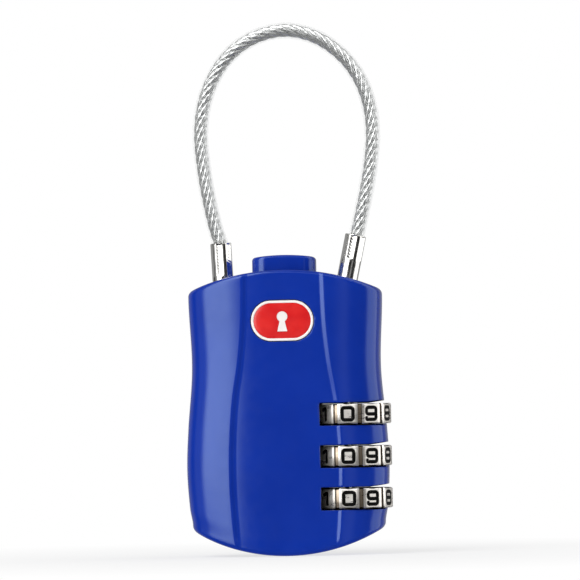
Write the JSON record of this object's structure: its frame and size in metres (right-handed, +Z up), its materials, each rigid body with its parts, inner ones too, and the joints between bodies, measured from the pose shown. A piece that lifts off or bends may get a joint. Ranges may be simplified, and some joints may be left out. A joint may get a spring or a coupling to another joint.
{
  "type": "padlock",
  "caption": "Travel combination padlock: waisted glossy blue body, number dials on one side, push button on top and a looped steel cable shackle in a clear sheath.",
  "frame": {"origin": "lowest point of the body, on its centre line and on the plane where its two halves meet", "axes": "+Z up from the body to the cable loop, -Y out of the front with the badge, +X to the side with the dials"},
  "size_m": [0.0336, 0.0136, 0.0875],
  "materials": {
    "blue_paint": "glossy cobalt blue enamel on die-cast zinc",
    "dial_nickel": "satin nickel plate, numerals inlaid in black",
    "ferrule_nickel": "bright nickel plate",
    "rope_steel": "galvanised wire rope, right-hand lay",
    "clear_sheath": "clear vinyl, glossy",
    "badge_red": "glossy red enamel",
    "badge_white": "glossy white enamel",
    "zinc": "bare die-cast zinc",
    "steel": "bright steel",
    "brass": "machined brass"
  },
  "bodies": {
    "lock_body": {"front_cover": "blue_paint", "rear_cover": "blue_paint", "dowel_pin_1": "steel", "dowel_pin_2": "steel", "dowel_pin_3": "steel", "dowel_pin_4": "steel", "latch_block": "zinc", "cylinder_carrier": "zinc", "spring_bridge": "steel", "detent_spring": "steel", "badge_plate": "badge_white", "badge_enamel": "badge_red", "button_spring": "steel", "latch_spring": "steel", "spindle_spring": "steel", "key_shell": "brass", "fixed_ferrule": "ferrule_nickel", "ferrule_pin": "steel", "wire_rope": "rope_steel", "cable_sheath": "clear_sheath"},
    "button": {"push_button": "blue_paint", "gate_fence": "steel"},
    "latch": {"latch_bolt": "steel"},
    "dial_1": {"dial_1": "dial_nickel"},
    "dial_2": {"dial_2": "dial_nickel"},
    "dial_3": {"dial_3": "dial_nickel"},
    "sleeve_1": {"clutch_sleeve_1": "brass"},
    "sleeve_2": {"clutch_sleeve_2": "brass"},
    "sleeve_3": {"clutch_sleeve_3": "brass"},
    "spindle": {"dial_spindle": "steel", "spindle_cup": "brass", "sleeve_clip_1": "steel", "sleeve_clip_2": "steel", "sleeve_clip_3": "steel"},
    "key_plug": {"key_plug": "brass", "key_wafer_1": "brass", "key_wafer_2": "brass", "key_wafer_3": "brass", "key_wafer_4": "brass", "key_wafer_5": "brass", "key_cam": "steel", "cam_screw": "steel"},
    "free_end": {"free_ferrule": "ferrule_nickel"}
  },
  "joints": [
    {"name": "button_press", "type": "slide", "parent": "lock_body", "child": "button", "axis": [0, 0, 1], "range_m": [-0.002, 0], "stiffness_N_per_m": 400, "springref_m": 0.002, "deforming": ["button_spring"]},
    {"name": "latch_slide", "type": "slide", "parent": "lock_body", "child": "latch", "axis": [-1, 0, 0], "range_m": [0, 0.0014], "deforming": ["latch_spring"]},
    {"name": "dial_1_turn", "type": "hinge", "parent": "lock_body", "child": "dial_1", "pos_m": [0.01045, 0, 0.023], "axis": [0, 0, 1], "continuous": true},
    {"name": "sleeve_1_lift", "type": "slide", "parent": "dial_1", "child": "sleeve_1", "axis": [0, 0, 1], "range_m": [0, 0.001]},
    {"name": "dial_2_turn", "type": "hinge", "parent": "lock_body", "child": "dial_2", "pos_m": [0.01045, 0, 0.0161], "axis": [0, 0, 1], "continuous": true},
    {"name": "sleeve_2_lift", "type": "slide", "parent": "dial_2", "child": "sleeve_2", "axis": [0, 0, 1], "range_m": [0, 0.001]},
    {"name": "dial_3_turn", "type": "hinge", "parent": "lock_body", "child": "dial_3", "pos_m": [0.01045, 0, 0.0092], "axis": [0, 0, 1], "continuous": true},
    {"name": "sleeve_3_lift", "type": "slide", "parent": "dial_3", "child": "sleeve_3", "axis": [0, 0, 1], "range_m": [0, 0.001]},
    {"name": "spindle_lift", "type": "slide", "parent": "lock_body", "child": "spindle", "axis": [0, 0, 1], "range_m": [0, 0.001], "stiffness_N_per_m": 300, "springref_m": -0.001, "deforming": ["spindle_spring"]},
    {"name": "key_turn", "type": "hinge", "parent": "lock_body", "child": "key_plug", "pos_m": [-0.0065, 0, 0.01], "axis": [0, 0, 1], "range_deg": [0, 90]},
    {"name": "free_end_pull", "type": "slide", "parent": "lock_body", "child": "free_end", "axis": [0.2079, 0, 0.9781], "range_m": [0, 0.009], "deforming": ["wire_rope", "cable_sheath"]}
  ],
  "couplings": [
    {"joint": "latch_slide", "follows": "button_press", "ratio": -0.7},
    {"joint": "sleeve_1_lift", "follows": "spindle_lift", "ratio": 1},
    {"joint": "sleeve_2_lift", "follows": "spindle_lift", "ratio": 1},
    {"joint": "sleeve_3_lift", "follows": "spindle_lift", "ratio": 1}
  ]
}
